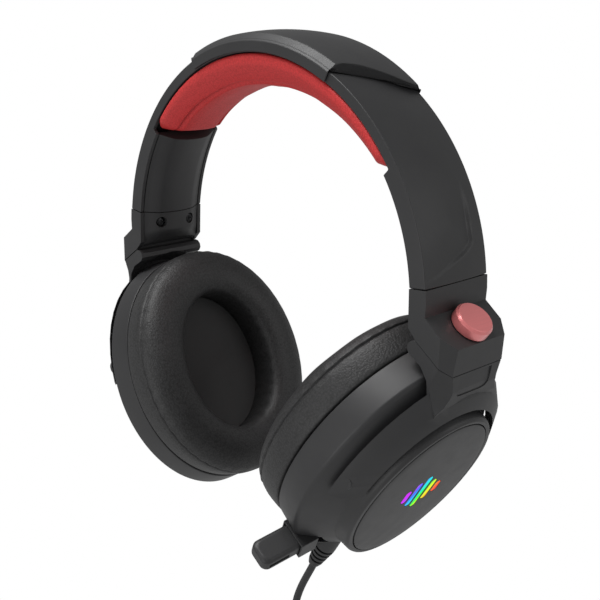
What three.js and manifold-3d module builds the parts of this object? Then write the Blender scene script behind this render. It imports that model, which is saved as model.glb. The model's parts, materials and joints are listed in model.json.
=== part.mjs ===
// An over-ear gaming headset: sprung headband, two telescoping arms, two swivelling yokes and two
// tilting ear cups. The left cup carries the microphone, the controls and the USB cable.
//
// Frame: millimetres, +Z up as worn, +X to the wearer's left, -Y to the face. The origin is the
// centre of the wearer's head, midway between the two ear openings.

import * as THREE from 'three';
import { mergeVertices } from 'three/addons/utils/BufferGeometryUtils.js';
import Module from 'manifold-3d';

const wasm = await Module();
wasm.setup();

// Driving dimensions, in millimetres and degrees.

const GAP = 0.3; // clearance between pieces that touch
const WALL = 1.8; // moulded wall thickness

const ARCH_Z = 52; // height of the centre of the headband's arc
const BAND_R = 88.5; // outer radius of the headband shell at its edges
const BAND_HALF = 17.2; // half the width of the headband
const BAND_CROWN = 0.8; // how far the outer face bulges at mid width
const SIDE_R = 81.3; // inner radius of the headband's side walls beside the liners
const PAD_R = 84.3; // inner radius of the side walls above the head pad
const SEAM = 6.55; // angle of the seam between headband and arm, from horizontal
const PAD_ANGLE = 35; // angle at which the head pad ends, from horizontal
const LINER_R = 76.4; // inner radius of the bulged liner at mid width

const COVER_TOP = 3; // thickness of the crown cover above the shell
const COVER_HALF = 18.2; // half the width of the crown cover
const COVER_FRONT_ANGLE = 61.7; // end of the crown cover at its front edge
const COVER_REAR_ANGLE = 54; // end of the crown cover at its rear edge

const STRIP_R = 80.3; // distance of the size slider strip from the arc's centre
const STRIP_UP = 30; // length of strip inside the headband
const STRIP_DOWN = 8; // length of strip inside the arm
const STRIP_SIZE = [1.2, 10]; // thickness and width of the strip

const SWIVEL_TILT = 35; // lean of the yoke's swivel axis, outward from vertical
const SWIVEL_AT = [94.3, 47.5]; // x and z where the swivel axis leaves the arm's slanted face
const JOINT_LEVEL = 84.24; // height along the swivel axis of the joint between arm and yoke
const FACE_LEVEL = 93; // height along the swivel axis of the arm's slanted face
const KNOB_R = 7.3;
const KNOB_HEIGHT = 4.6;
const PIN_R = 3;
const PIN_TAIL = 3; // length of swivel pin inside the yoke

const STEM_AT = [35.7, 0]; // x and z of the origin that the yoke's stem is drawn from
const STEM_TILT = 27.3; // lean of the stem's outline
const EAR_AT = [37, 1.4]; // x and z of the ear opening's centre
const CUP_TILT = 30.1; // lean of the bow and the ear cups, lower edges together
const CUP_TOE = 2.5; // turn of the bow and the ear cups about the swivel axis, front edges inward
const CUP_LEAN = { left: 0, right: -3.5 }; // rest tilt of each cup about its pins, top outward
const PIVOT = [38.4, 11]; // tilt pins in the cup frame: outward and upward
const PIVOT_R = 1.4;
const PIVOT_SPAN = [29.2, 36.8]; // tilt pin ends, from the middle of the cup
const BOSS_R = 2.8; // round boss inside each yoke arm, which the tilt pin turns in

const EAR_OPENING = [24.4, 31.7]; // half width and half height of the ear opening
const CUSHION = [44.6, 52.3]; // half width and half height of the ear cushion
const CUSHION_BACK = 17.4; // depth of the cushion behind the ear opening
const PLATE = [28.3, 37.2]; // half width and half height of the outer plate
const PLATE_TOP = 47.3; // height of the outer plate above the ear opening

const YOKE_FACE = 44.6; // outer face of the yoke's stem, from its origin

// The long edges of the yoke's bow: half width, half height, how far outward the edge lies at the arm
// ends and at the top, and the angle where it ends.
const BOW_EDGES = [
  { a: 41.3, b: 53.5, ends: 36.2, top: 36, from: 3 },
  { a: 38.8, b: 48, ends: 40.8, top: 42.4, from: 5.5 },
  { a: 33.8, b: 42.6, ends: 44.8, top: 44.6, from: 12 },
  { a: 33.8, b: 42.6, ends: 39.8, top: 40.6, from: 12 },
];

const MIC_ROOT = [30.1, -32.5, -37.6]; // where the microphone leaves the shell, in the cup frame
const MIC_DROP = 15; // degrees that the microphone points below the horizon
const MIC_SIZE = [11, 7]; // width and thickness of the microphone head
const MIC_OUT = 18; // length of microphone head outside the cup
const STEM_SIZE = [8, 3.6];
const STEM_LENGTH = 46;

const WHEEL_AT = [23.2, 29.6, -31];
const WHEEL_R = 9;
const WHEEL_WIDTH = 3.4;
const BUTTON_AT = [23.5, 21.4, -47.4];
const BUTTON_LEAN = 58.5; // degrees that the button's axis points below the horizon
const BUTTON_R = 2.6;

const RELIEF_AT = [33.9, -14.3]; // strain relief axis, outward and forward in the cup frame
const RELIEF_U = [-42.4, -60.3]; // inner and outer end of the strain relief
const CABLE_R = 1.6;
const COIL_AT = [13, -148.3]; // x and z of the coil's centre
const COIL_R = [10.9, 24.1]; // inner and outer radius of the coil
const COIL_Y = [-23.4, -3.3]; // front and rear face of the coil
const PLUG_AT = [0.3, -5.1]; // x and y of the plug's axis
const PLUG_TOP = -172.5;

// The cable's centre line, from the strain relief down to the coil.
const CABLE_ROUTE = [
  [35.6, -15, -67.8],
  [32.9, -15, -73.1],
  [30.2, -15, -78.4],
  [27.7, -15, -83.8],
  [25.7, -15, -89.4],
  [24.3, -15, -95.2],
  [23.4, -15, -101.1],
  [23, -15, -107],
  [23, -15, -112],
  [22.8, -15, -117.9],
  [20.9, -15, -122.2],
];

const BLACK = new THREE.MeshStandardMaterial({ color: 0x2b2b2c, roughness: 0.62, metalness: 0 });
const INNER_BLACK = new THREE.MeshStandardMaterial({ color: 0x1d1d1e, roughness: 0.75, metalness: 0 });
const LEATHER = new THREE.MeshStandardMaterial({ color: 0x29292a, roughness: 0.55, metalness: 0 });
const RED_PAD = new THREE.MeshStandardMaterial({ color: 0x94272b, roughness: 0.7, metalness: 0 });
const RED_METAL = new THREE.MeshStandardMaterial({ color: 0xb83a3c, roughness: 0.35, metalness: 0.6 });
const STEEL = new THREE.MeshStandardMaterial({ color: 0xa8abad, roughness: 0.3, metalness: 1 });
const SCREW_STEEL = new THREE.MeshStandardMaterial({ color: 0x4c4c4e, roughness: 0.35, metalness: 1 });
const CLOTH = new THREE.MeshStandardMaterial({ color: 0x242425, roughness: 0.95, metalness: 0 });
const BOARD = new THREE.MeshStandardMaterial({ color: 0x1f5136, roughness: 0.5, metalness: 0.1 });
const LIGHT = new THREE.MeshStandardMaterial({ color: 0x6fe3ff, roughness: 0.3, metalness: 0 });
const RUBBER = new THREE.MeshStandardMaterial({ color: 0x262627, roughness: 0.7, metalness: 0 });

// Geometry helpers.

const rad = THREE.MathUtils.degToRad;

function signedVolume(geometry) {
  const { position } = geometry.attributes;
  const corner = [new THREE.Vector3(), new THREE.Vector3(), new THREE.Vector3()];
  let volume = 0;
  for (let i = 0; i < geometry.index.count; i += 3) {
    corner.forEach((point, k) => point.fromBufferAttribute(position, geometry.index.getX(i + k)));
    volume += corner[0].dot(corner[1].cross(corner[2])) / 6;
  }
  return volume;
}

// A closed body through rings of equally many points. With an outline, both ends are capped by it;
// without one, the last ring joins the first.
function skin(rings, outline) {
  const size = rings[0].length;
  const spans = outline ? rings.length - 1 : rings.length;
  const index = [];
  for (let ring = 0; ring < spans; ring++) {
    const next = (ring + 1) % rings.length;
    for (let i = 0; i < size; i++) {
      const j = (i + 1) % size;
      const [a, b] = [ring * size + i, ring * size + j];
      const [c, d] = [next * size + i, next * size + j];
      index.push(a, b, c, b, d, c);
    }
  }
  if (outline) {
    const last = (rings.length - 1) * size;
    const turned = THREE.ShapeUtils.isClockWise(outline);
    for (const face of THREE.ShapeUtils.triangulateShape(outline, [])) {
      const [a, b, c] = turned ? [...face].reverse() : face;
      index.push(c, b, a, last + a, last + b, last + c);
    }
  }
  const geometry = new THREE.BufferGeometry();
  const points = rings.flat().flatMap((point) => point.toArray());
  geometry.setAttribute('position', new THREE.Float32BufferAttribute(points, 3));
  geometry.setIndex(index);
  if (signedVolume(geometry) < 0) {
    geometry.setIndex(index.reverse());
  }
  return geometry;
}

// A section swept round the headband's arc. sectionAt(angle) gives [radius, y] points.
function archSweep(sectionAt, angles) {
  const outline = sectionAt(angles[0]).map(([r, y]) => new THREE.Vector2(r, y));
  const rings = angles.map((angle) => sectionAt(angle).map(([r, y]) => {
    const a = rad(angle);
    return new THREE.Vector3(r * Math.cos(a), y, ARCH_Z + r * Math.sin(a));
  }));
  return skin(rings, outline);
}

function steps(from, to, count) {
  return Array.from({ length: count + 1 }, (_, i) => from + ((to - from) * i) / count);
}

// One oval ring in the cup frame: x outward, y to the rear, z up.
function oval([t, a, b], count) {
  return Array.from({ length: count }, (_, i) => {
    const angle = (2 * Math.PI * i) / count;
    return new THREE.Vector3(t, a * Math.cos(angle), b * Math.sin(angle));
  });
}

// A ring-shaped body: a closed list of ovals, each [t, half width, half height].
function ovalRing(levels, count = 36) {
  return skin(levels.map((level) => oval(level, count)));
}

// A solid disc through ovals, capped flat at both ends.
function ovalDisc(levels, count = 36) {
  const outline = oval([0, 1, 1], count).map(({ y, z }) => new THREE.Vector2(y, z));
  return skin(levels.map((level) => oval(level, count)), outline);
}

function shapeOf(points) {
  return new THREE.Shape(points.map(([x, y]) => new THREE.Vector2(x, y)));
}

// A plate with an outline in x and z, between two values of y.
function plateAlongY(points, low, high) {
  const plate = new THREE.ExtrudeGeometry(shapeOf(points), { depth: high - low, bevelEnabled: false });
  return plate.rotateX(Math.PI / 2).translate(0, high, 0);
}

// A plate with an outline in y and z, between two values of x.
function plateAlongX(points, low, high) {
  const plate = new THREE.ExtrudeGeometry(shapeOf(points), { depth: high - low, bevelEnabled: false });
  const basis = new THREE.Matrix4().set(0, 0, 1, low, 1, 0, 0, 0, 0, 1, 0, 0, 0, 0, 0, 1);
  return plate.applyMatrix4(basis);
}

function box(low, high) {
  const size = high.map((value, i) => value - low[i]);
  return new THREE.BoxGeometry(...size).translate(...low.map((value, i) => value + size[i] / 2));
}

// A round rod between two points.
function rod(radius, from, to, sides = 16) {
  const start = new THREE.Vector3(...from);
  const along = new THREE.Vector3(...to).sub(start);
  const turn = new THREE.Quaternion();
  turn.setFromUnitVectors(new THREE.Vector3(0, 1, 0), along.clone().normalize());
  return new THREE.CylinderGeometry(radius, radius, along.length(), sides)
    .translate(0, along.length() / 2, 0)
    .applyQuaternion(turn)
    .translate(...start);
}

// A turned body about the line through a point, along an axis. The profile is [radius, height].
function turnedBody(profile, at, axis, sides = 20) {
  const turn = new THREE.Quaternion();
  turn.setFromUnitVectors(new THREE.Vector3(0, 1, 0), new THREE.Vector3(...axis).normalize());
  return new THREE.LatheGeometry(profile.map(([r, h]) => new THREE.Vector2(r, h)), sides)
    .applyQuaternion(turn)
    .translate(...at);
}

function toSolid(geometry) {
  const bare = geometry.clone();
  bare.deleteAttribute('normal');
  bare.deleteAttribute('uv');
  const merged = mergeVertices(bare, 1e-4);
  const vertProperties = new Float32Array(merged.attributes.position.array);
  const triVerts = new Uint32Array(merged.index.array);
  return new wasm.Manifold(new wasm.Mesh({ numProp: 3, vertProperties, triVerts }));
}

function toGeometry(solid) {
  const { vertProperties, triVerts } = solid.getMesh();
  const geometry = new THREE.BufferGeometry();
  geometry.setAttribute('position', new THREE.Float32BufferAttribute(vertProperties, 3));
  geometry.setIndex([...triVerts]);
  return geometry;
}

function cut(geometry, tools) {
  return toGeometry(tools.reduce((body, tool) => body.subtract(toSolid(tool)), toSolid(geometry)));
}

function join(geometries) {
  return toGeometry(geometries.map(toSolid).reduce((body, other) => body.add(other)));
}

function add(group, name, geometry, material) {
  const mesh = new THREE.Mesh(geometry, material);
  mesh.name = name;
  group.add(mesh);
  return mesh;
}

// Directions that several pieces share.

const swivelAxis = [Math.sin(rad(SWIVEL_TILT)), 0, Math.cos(rad(SWIVEL_TILT))];
const slideUp = [-Math.sin(rad(SEAM)), 0, Math.cos(rad(SEAM))];
const seamOut = [Math.cos(rad(SEAM)), 0, Math.sin(rad(SEAM))];
const micOut = [0, -Math.cos(rad(MIC_DROP)), -Math.sin(rad(MIC_DROP))];
const buttonOut = [0, Math.cos(rad(BUTTON_LEAN)), -Math.sin(rad(BUTTON_LEAN))];

function along(point, direction, distance) {
  return point.map((value, i) => value + direction[i] * distance);
}

// A point on the swivel axis at a height along it.
function onSwivel(level) {
  const [x, z] = SWIVEL_AT;
  const rise = level - (x * swivelAxis[0] + z * swivelAxis[2]);
  return along([x, 0, z], swivelAxis, rise);
}

// Height z at which a plane square to the swivel axis crosses a given x.
function levelZ(level, x) {
  return (level - swivelAxis[0] * x) / swivelAxis[2];
}

// A frame at a point [x, z] that leans outward by an angle: x outward, y to the rear, z up.
function frameAt([x, z], tilt) {
  return new THREE.Matrix4().makeRotationY(rad(tilt)).setPosition(x, 0, z);
}

function turnAbout(point, axis, degrees) {
  const [x, y, z] = point;
  return new THREE.Matrix4().makeTranslation(x, y, z)
    .multiply(new THREE.Matrix4().makeRotationAxis(new THREE.Vector3(...axis), rad(degrees)))
    .multiply(new THREE.Matrix4().makeTranslation(-x, -y, -z));
}

// The frame of a bow and its ear cup, with the cup at the middle of its tilt.
function cupFrame(name) {
  const toe = name === 'left' ? -CUP_TOE : CUP_TOE;
  return turnAbout(onSwivel(FACE_LEVEL), swivelAxis, toe).multiply(frameAt(EAR_AT, CUP_TILT));
}

// Headband.

function shellSection(angle) {
  const overPad = angle > PAD_ANGLE && angle < 180 - PAD_ANGLE;
  const edge = overPad ? PAD_R : SIDE_R;
  const inner = BAND_R - WALL;
  const wall = BAND_HALF - WALL;
  return [
    [edge, -BAND_HALF], [BAND_R, -BAND_HALF], [BAND_R + BAND_CROWN * 0.75, -BAND_HALF / 2],
    [BAND_R + BAND_CROWN, 0], [BAND_R + BAND_CROWN * 0.75, BAND_HALF / 2], [BAND_R, BAND_HALF],
    [edge, BAND_HALF], [edge, wall], [inner, wall], [inner, -wall], [edge, -wall],
  ];
}

function headbandShell() {
  const low = SEAM + 0.1;
  const side = steps(low, PAD_ANGLE - 0.5, 7);
  const top = steps(PAD_ANGLE + 0.5, 145 - 0.5, 22);
  const far = side.map((angle) => 180 - angle).reverse();
  return archSweep(shellSection, [...side, ...top, ...far]);
}

// The crown cover is a shallow channel over the shell, longer along its rear edge.
function crownCover() {
  const low = BAND_R + BAND_CROWN + GAP;
  const inner = BAND_HALF + GAP;
  const top = BAND_R + COVER_TOP;
  const section = [
    [PAD_R + 0.3, -COVER_HALF], [BAND_R, -COVER_HALF], [top, -COVER_HALF + 3], [top + 0.6, 0],
    [top, COVER_HALF - 3], [BAND_R, COVER_HALF], [PAD_R + 0.3, COVER_HALF], [PAD_R + 0.3, inner],
    [low - 0.4, inner], [low, 0], [low - 0.4, -inner], [PAD_R + 0.3, -inner],
  ];
  const angleAt = (y, share) => {
    const across = (y + COVER_HALF) / (2 * COVER_HALF);
    const end = THREE.MathUtils.lerp(COVER_FRONT_ANGLE, COVER_REAR_ANGLE, across);
    return end + (180 - 2 * end) * share;
  };
  const rings = steps(0, 1, 20).map((share) => section.map(([r, y]) => {
    const a = rad(angleAt(y, share));
    return new THREE.Vector3(r * Math.cos(a), y, ARCH_Z + r * Math.sin(a));
  }));
  return skin(rings, section.map(([r, y]) => new THREE.Vector2(r, y)));
}

// The head pad is crowned across its width and thins to rounded ends.
function headPad() {
  const end = PAD_ANGLE + 0.8;
  const angles = [end, end + 1, end + 2.5, end + 5, ...steps(end + 10, 170 - end, 16),
    175 - end, 177.5 - end, 179 - end, 180 - end];
  const section = (angle) => {
    const inset = Math.min(angle - end, 180 - end - angle);
    const round = Math.sqrt(Math.min(1, (inset + 0.35) / 5));
    const depth = round * (8.3 + 5 * Math.sin(rad(90 * Math.min(1, inset / 50))));
    const half = 16.6 - 2.4 * (1 - round);
    const top = PAD_R - GAP;
    return [
      [top, -half + 1], [top - 0.15 * depth, -half], [top - 0.45 * depth, -half + 0.5],
      [top - 0.8 * depth, -half * 0.8], [top - 0.96 * depth, -half * 0.45], [top - depth, 0],
      [top - 0.96 * depth, half * 0.45], [top - 0.8 * depth, half * 0.8],
      [top - 0.45 * depth, half - 0.5], [top - 0.15 * depth, half], [top, half - 1],
    ];
  };
  return archSweep(section, angles);
}

function archPlate(innerR, outerR, half, from, to, count) {
  const section = [[innerR, -half], [outerR, -half], [outerR, half], [innerR, half]];
  return archSweep(() => section, steps(from, to, count));
}

// The bulged inner face of the band. Its depth fades from 1 to 0 towards the slanted lower end.
function bulgedSection(fade, shift) {
  const half = BAND_HALF - WALL - GAP;
  const widths = [-1, -0.8, -0.52, -0.25, 0, 0.25, 0.52, 0.8, 1];
  const depth = (SIDE_R - LINER_R) * fade;
  const inner = widths.map((w) => [SIDE_R + shift - depth * Math.cos((w * Math.PI) / 2), w * half]);
  const outer = inner.map(([r, y]) => [r + WALL, y]).reverse();
  return [...inner, ...outer];
}

function bandLiner(from, to) {
  return archSweep(() => bulgedSection(1, 0), steps(from, to, 7));
}

function buildHeadband() {
  const headband = new THREE.Group();
  const end = PAD_ANGLE - 0.7;
  add(headband, 'headband_shell', headbandShell(), BLACK);
  add(headband, 'crown_cover', crownCover(), BLACK);
  add(headband, 'headband_pad', headPad(), RED_PAD);
  add(headband, 'pad_base', archPlate(PAD_R, PAD_R + 1, 15, 37, 143, 20), INNER_BLACK);
  add(headband, 'spring_band', archPlate(85.7, 86.4, 7, 30, 150, 20), STEEL);
  add(headband, 'left_band_liner', bandLiner(SEAM + 0.1, end), BLACK);
  add(headband, 'right_band_liner', bandLiner(180 - end, 180 - SEAM - 0.1), BLACK);
  return headband;
}

// Arms, in the frame of the left side.

// The outer face runs down from the seam and flares into the slanted swivel housing.
function armCover() {
  const seam = rad(SEAM - 0.1);
  const seamPoint = (r) => [r * Math.cos(seam), ARCH_Z + r * Math.sin(seam)];
  const outline = [
    seamPoint(SIDE_R), seamPoint(BAND_R + 0.3), [88.6, 57], [88.4, 52.4], [100.4, levelZ(FACE_LEVEL, 100.4)],
    [99.3, levelZ(JOINT_LEVEL, 99.3)], [84.9, levelZ(JOINT_LEVEL, 84.9)], [SIDE_R, 47.2],
  ];
  const pocket = box([70, -BAND_HALF + WALL, 40], [86.2, BAND_HALF - WALL, 80]);
  const bore = rod(PIN_R + GAP, onSwivel(70), onSwivel(110));
  const corners = [-1, 1].map((side) => plateAlongZ([
    [95, side * 17.6], [102, side * 17.6], [102, side * 11.8],
  ], 20, 53));
  const bosses = [-1, 1].map((side) => rod(2.4, [81.4, side * 8, 56.2], [87, side * 8, 56.2], 12));
  const holes = [-1, 1].map((side) => rod(1.3, [70, side * 8, 56.2], [86, side * 8, 56.2], 10));
  const body = cut(plateAlongY(outline, -BAND_HALF, BAND_HALF), [pocket, ...corners]);
  const recess = rod(KNOB_R + 0.5, onSwivel(FACE_LEVEL), onSwivel(FACE_LEVEL + 12), 28);
  return cut(join([body, ...bosses]), [bore, recess, ...holes]);
}

// A plate with an outline in x and y, between two values of z.
function plateAlongZ(points, low, high) {
  return new THREE.ExtrudeGeometry(shapeOf(points), { depth: high - low, bevelEnabled: false })
    .translate(0, 0, low);
}

// The inner cover carries the band's bulge down to the swivel joint, with two screw counterbores.
function armInnerCover() {
  const angles = [SEAM - 0.1, 2, ...steps(-1, -5.2, 4)];
  const section = (angle) => {
    const fade = THREE.MathUtils.smoothstep(angle, -6.5, 0.5);
    return bulgedSection(fade, (1 - fade) * 1.6);
  };
  const above = levelZ(JOINT_LEVEL + GAP, 0);
  const slope = -swivelAxis[0] / swivelAxis[2];
  const roof = [[100, above + slope * 100], [60, above + slope * 60]];
  const below = plateAlongY([[60, 30], [100, 30], ...roof], -20, 20);
  const screws = [-1, 1].flatMap((side) => [
    rod(1.4, [70, side * 8, 56.2], [90, side * 8, 56.2], 10),
    rod(2.5, [70, side * 8, 56.2], [78.3, side * 8, 56.2], 12),
  ]);
  return cut(archSweep(section, angles), [below, ...screws]);
}

function armScrew(side) {
  const head = rod(2.1, [77.2, side * 8, 56.2], [78, side * 8, 56.2], 12);
  const shank = rod(0.95, [77.6, side * 8, 56.2], [85, side * 8, 56.2], 8);
  return join([head, shank]);
}

function sliderStrip() {
  const [thickness, width] = STRIP_SIZE;
  const strip = new THREE.BoxGeometry(thickness, width, STRIP_UP + STRIP_DOWN);
  const middle = along([STRIP_R * seamOut[0], 0, ARCH_Z + STRIP_R * seamOut[2]], slideUp,
    (STRIP_UP - STRIP_DOWN) / 2);
  return strip.rotateY(-rad(SEAM)).translate(...middle);
}

function buildArm(side, name, frontSign) {
  add(side, `${name}_arm_cover`, armCover(), BLACK);
  add(side, `${name}_arm_inner_cover`, armInnerCover(), BLACK);
  add(side, `${name}_slider_strip`, sliderStrip(), STEEL);
  add(side, `${name}_arm_screw_front`, armScrew(frontSign), SCREW_STEEL);
  add(side, `${name}_arm_screw_rear`, armScrew(-frontSign), SCREW_STEEL);
}

// Swivel pin and its red cap, in the frame of the left side.

function swivelPin() {
  return rod(PIN_R, onSwivel(JOINT_LEVEL - PIN_TAIL), onSwivel(FACE_LEVEL));
}

function swivelCap() {
  const chamfer = 0.7;
  const profile = [[0, 0], [KNOB_R - 0.3, 0], [KNOB_R, 0.3], [KNOB_R, KNOB_HEIGHT - chamfer],
    [KNOB_R - chamfer, KNOB_HEIGHT], [0, KNOB_HEIGHT]];
  return turnedBody(profile, onSwivel(FACE_LEVEL + GAP), swivelAxis, 28);
}

// Yoke. The bow is drawn in the cup frame, the stem from its own origin.

// The bow lies close over the cup's cone, and its face slants more and more towards the arm ends.
function bow() {
  const rings = steps(0, 1, 22).map((share) => BOW_EDGES.map(({ a, b, ends, top, from }) => {
    const angle = rad(THREE.MathUtils.lerp(from, 180 - from, share));
    const t = THREE.MathUtils.lerp(ends, top, Math.sin(angle) ** 2);
    return new THREE.Vector3(t, a * Math.cos(angle), b * Math.sin(angle));
  }));
  return skin(rings, BOW_EDGES.map(({ a, ends }) => new THREE.Vector2(ends, a)));
}

// The stem rises from the bow to the swivel joint, with a rounded nose under the arm.
function yokeStem() {
  const tilt = rad(SWIVEL_TILT - STEM_TILT);
  const level = JOINT_LEVEL - GAP - STEM_AT[0] * swivelAxis[0] - STEM_AT[1] * swivelAxis[2];
  const jointU = (t) => (level - Math.sin(tilt) * t) / Math.cos(tilt);
  const outline = [
    [24, jointU(24)], [22.3, 59.8], [21.5, 58], [21.9, 56.2], [23.5, 55.1], [30, 54.6], [34.8, 52],
    [36.5, 49.6], [39.8, 44], [41.2, 39.4], [YOKE_FACE - 0.4, 39.4], [YOKE_FACE, 47], [43.8, 52],
    [41.4, jointU(41.4)],
  ];
  return cut(plateAlongY(outline, -BAND_HALF + 0.2, BAND_HALF - 0.2), [stemCorner(-1), stemCorner(1)]);
}

// What is taken off a front or rear corner of the stem. Each level is [height, where the slanted
// face starts on the stem's side, where it ends on the outer face].
function stemCorner(side) {
  const levels = [
    [66, 36, 10.4], [54, 36, 10.4], [50.5, 37, 11.4],
    [47.5, 39.2, 13.4], [45, 42, 15.6], [43, 45, 17.1],
  ];
  const rings = levels.map(([u, t, y]) => [
    new THREE.Vector3(t, side * 17.5, u),
    new THREE.Vector3(46, side * y, u),
    new THREE.Vector3(46, side * 17.5, u),
  ]);
  return skin(rings, rings[0].map(({ x, y }) => new THREE.Vector2(x, y)));
}

function yoke(name) {
  const [t, u] = PIVOT;
  const [, pinEnd] = PIVOT_SPAN;
  const bosses = [-1, 1].map((side) => rod(BOSS_R, [t, side * 32.9, u], [t, side * 38.2, u], 16));
  const boreEnd = pinEnd + GAP;
  const bores = [-1, 1].map((side) => rod(PIVOT_R + GAP, [t, side * 30, u], [t, side * boreEnd, u], 12));
  const placed = (geometry) => geometry.applyMatrix4(cupFrame(name));
  const stem = yokeStem().applyMatrix4(frameAt(STEM_AT, STEM_TILT));
  const swivelBore = rod(PIN_R + GAP, onSwivel(JOINT_LEVEL - PIN_TAIL - GAP), onSwivel(110));
  const body = join([stem, ...[bow(), ...bosses].map(placed)]);
  return cut(body, [swivelBore, ...[cupRoom(), ...bores].map(placed)]);
}

// The room under the bow and the stem that the cup's cone and raised bezel need.
function cupRoom() {
  const { a, b } = BOW_EDGES[2];
  return ovalDisc([[18, 46, 55.8], [32, 46, 55.8], [40.2, a, b], [50, a, b]]);
}

// Ear cup, in the cup frame.

function pivotPin(side) {
  const [t, u] = PIVOT;
  const [near, far] = PIVOT_SPAN;
  return rod(PIVOT_R, [t, side * near, u], [t, side * far, u], 12);
}

// A lug on the inside of the cone, which holds the inner end of a tilt pin.
function pivotLug(side) {
  const [t, u] = PIVOT;
  const [low, high] = side < 0 ? [-34.5, -28.6] : [28.6, 34.5];
  const lug = toSolid(box([t - 2.4, low, u - 7], [t + 2, high, u + 7]));
  const insideCone = toSolid(ovalDisc([[35, 37.6, 46], [38, 33.8, 41.9], [40.5, 31.5, 39.4], [42.5, 31, 39]]));
  return toGeometry(lug.intersect(insideCone));
}

// A shallow bowl: a side band, a crease, a cone up to the raised bezel and a pocket for the plate.
function cupShell(openings) {
  const shell = ovalRing([
    [18.5, 43.7, 52.6], [30.2, 44.2, 54.2], [31.4, 43.5, 53.3], [38.8, 34.2, 42.2], [40.5, 32.6, 40.4],
    [45.9, 31.4, 39.7], [47, 30.6, 38.9], [47, 28.6, 37.5], [45, 28.6, 37.5], [45, 26.6, 35],
    [43, 26.6, 35], [41.2, 30.4, 38.2], [37.7, 33.2, 41], [29.8, 42.2, 52.2], [18.5, 41.7, 50.5],
  ]);  const [t, u] = PIVOT;
  const holes = [-1, 1].flatMap((side) => [
    rod(PIVOT_R + GAP, [t, side * 25, u], [t, side * 40, u], 12),
    rod(BOSS_R + 0.4, [t, side * 32.5, u], [t, side * 45, u], 16),
  ]);
  return cut(join([shell, pivotLug(-1), pivotLug(1)]), [...holes, ...openings]);
}

// Five rounded bars of a level meter, as [y, half height].
const METER = [[-8.2, 3.6], [-4.1, 7], [0, 9.2], [4.1, 6], [8.2, 3.2]];
const BAR_HALF = 1.3;

function meterBar([y, half], grow, low, high) {
  const arc = (centre, from) => steps(from, from + Math.PI, 4).map((a) => [
    y + (BAR_HALF + grow) * Math.cos(a), centre + (BAR_HALF + grow) * Math.sin(a),
  ]);
  return plateAlongX([...arc(half - BAR_HALF, 0), ...arc(BAR_HALF - half, Math.PI)], low, high);
}

function cupPlate() {
  const [a, b] = PLATE;
  const disc = ovalDisc([[45.3, a, b], [46.9, a, b], [PLATE_TOP, a - 0.5, b - 0.5], [47.8, a - 12, b - 12]]);
  return cut(disc, METER.map((bar) => meterBar(bar, GAP, 44, 50)));
}

function emblem() {
  const backing = box([43.8, -10.5, -11], [45, 10.5, 11]);
  return join([backing, ...METER.map((bar) => meterBar(bar, 0, 44.5, 47.9))]);
}

// The baffle closes the shell behind the cushion and holds the driver in its middle.
function baffle() {
  return ovalRing([
    [17.7, 41.3, 50.1], [19.9, 41.3, 50.1], [19.9, 19, 19], [17.7, 19, 19],
  ]);
}

function driver() {
  const profile = [[0, -1.4], [17, -0.6], [18.5, 0.4], [21.5, 0.4], [21.5, 3], [16, 4.6], [12, 5],
    [12, 9], [0, 9]];
  return turnedBody(profile, [19.9, 0, 0], [1, 0, 0], 24);
}

// The cushion is a crowned oval ring with a flat back.
function earCushion() {
  const [openA, openB] = EAR_OPENING;
  const [a, b] = CUSHION;
  const back = CUSHION_BACK;
  return ovalRing([
    [back, a - 1.2, b - 1.2], [10, a, b], [5, a - 0.2, b - 0.2], [1.5, a - 2.5, b - 2.5],
    [-0.8, a - 6, b - 6], [-1.5, a - 9, b - 9], [-1.5, openA + 5, openB + 5],
    [-0.4, openA + 1.2, openB + 1.2], [1.8, openA, openB], [back, openA + 1, openB + 1],
  ]);
}

function scrim() {
  const [a, b] = EAR_OPENING;
  return ovalDisc([[CUSHION_BACK - 0.8, a + 0.6, b + 0.6], [CUSHION_BACK, a + 0.6, b + 0.6]]);
}

function buildCup(cup, name, frontSign, openings) {
  add(cup, `${name}_cup_shell`, cupShell(openings), BLACK);
  add(cup, `${name}_cup_plate`, cupPlate(), BLACK);
  add(cup, `${name}_emblem`, emblem(), LIGHT);
  add(cup, `${name}_led_board`, box([40, -11, -11], [41.4, 11, 11]), BOARD);
  add(cup, `${name}_baffle`, baffle(), INNER_BLACK);
  add(cup, `${name}_driver`, driver(), STEEL);
  add(cup, `${name}_ear_cushion`, earCushion(), LEATHER);
  add(cup, `${name}_scrim`, scrim(), CLOTH);
  add(cup, `${name}_tilt_pin_front`, pivotPin(frontSign), STEEL);
  add(cup, `${name}_tilt_pin_rear`, pivotPin(-frontSign), STEEL);
}

// Microphone, controls and cable of the left cup, in the cup frame.

// A bar along the microphone's direction, between two distances from its root.
function micBar([width, thickness], from, to) {
  const bar = box([-width / 2, from, -thickness / 2], [width / 2, to, thickness / 2]);
  return bar.rotateX(Math.PI + rad(MIC_DROP)).translate(...MIC_ROOT);
}

function micHead() {
  const [width, thickness] = MIC_SIZE;
  const body = micBar([width, thickness], -4, MIC_OUT - 1.5);
  const tip = micBar([width - 3, thickness - 2.4], MIC_OUT - 4, MIC_OUT);
  return join([body, tip]);
}

function micPort() {
  const grown = (extra) => MIC_SIZE.map((value) => value + extra);
  return cut(micBar(grown(2), -6, 2), [micBar(grown(2 * GAP), -10, 10)]);
}

function volumeWheel() {
  const [t, y, u] = WHEEL_AT;
  const half = WHEEL_WIDTH / 2;
  return rod(WHEEL_R, [t - half, y, u], [t + half, y, u], 24);
}

function muteButton() {
  return rod(BUTTON_R, along(BUTTON_AT, buttonOut, -4), along(BUTTON_AT, buttonOut, 0.9), 14);
}

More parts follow.
